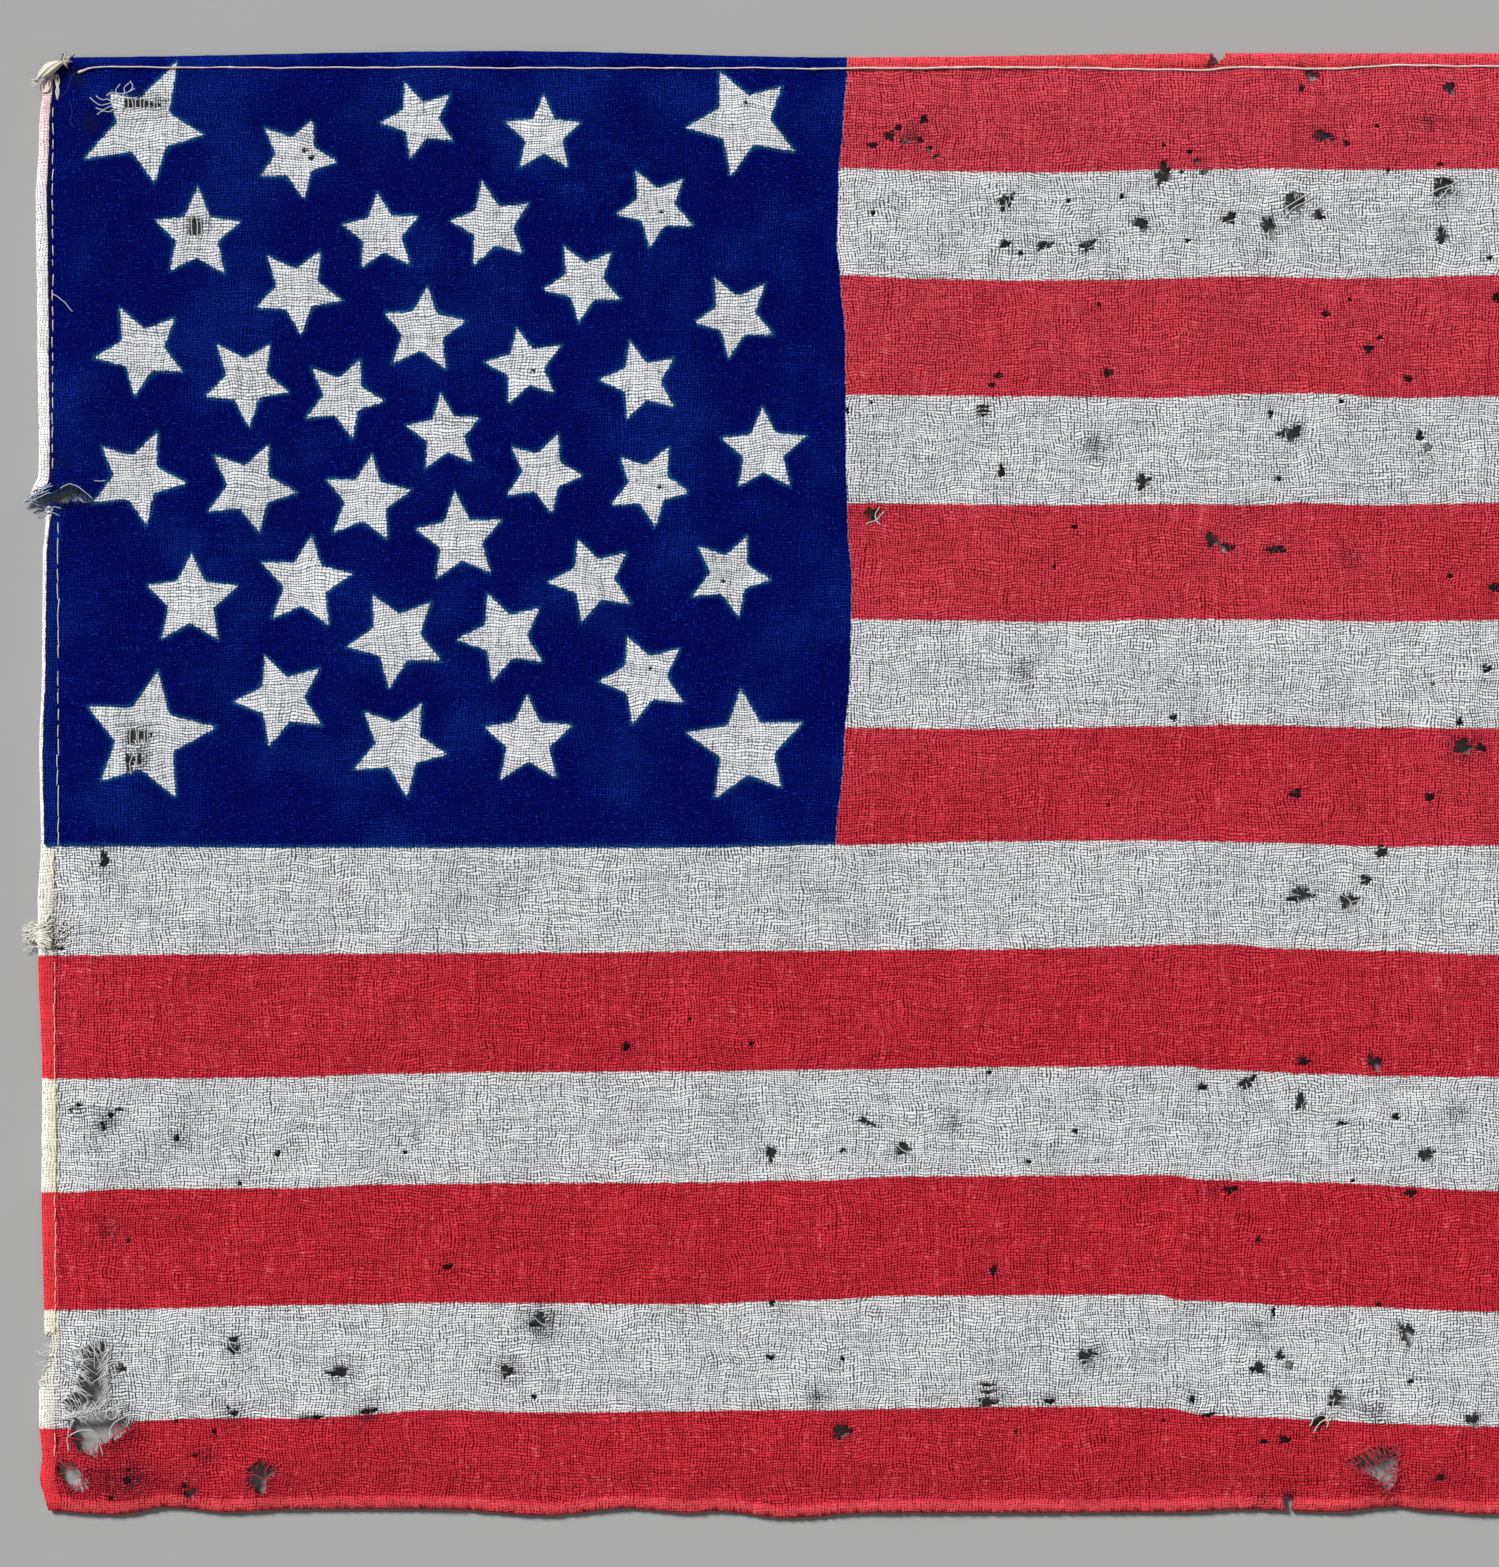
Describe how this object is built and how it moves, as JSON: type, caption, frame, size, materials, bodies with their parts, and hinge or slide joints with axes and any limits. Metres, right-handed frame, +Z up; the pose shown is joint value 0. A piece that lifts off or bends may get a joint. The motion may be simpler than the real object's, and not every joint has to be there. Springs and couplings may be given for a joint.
{
  "type": "tattered flag",
  "caption": "Small worn flag of dyed wool bunting lying flat, with folded hems, a torn hoist, moth holes, tears and stubs of cream ties.",
  "frame": {"origin": "middle of the flag's footprint, on the surface that it lies on", "axes": "+X from the hoist to the fly, +Y to the top edge, +Z up out of the printed face"},
  "size_m": [0.693, 0.4618, 0.0038],
  "materials": {
    "dyed_wool": "open plain weave of wool yarns, dyed dark blue, crimson and white, matte",
    "cream_tape": "cream twisted cotton tape and sewing thread, matte and frayed"
  },
  "bodies": {
    "root": {"flag_cloth": "dyed_wool", "corner_tie": "cream_tape", "lower_tie": "cream_tape"}
  },
  "joints": []
}
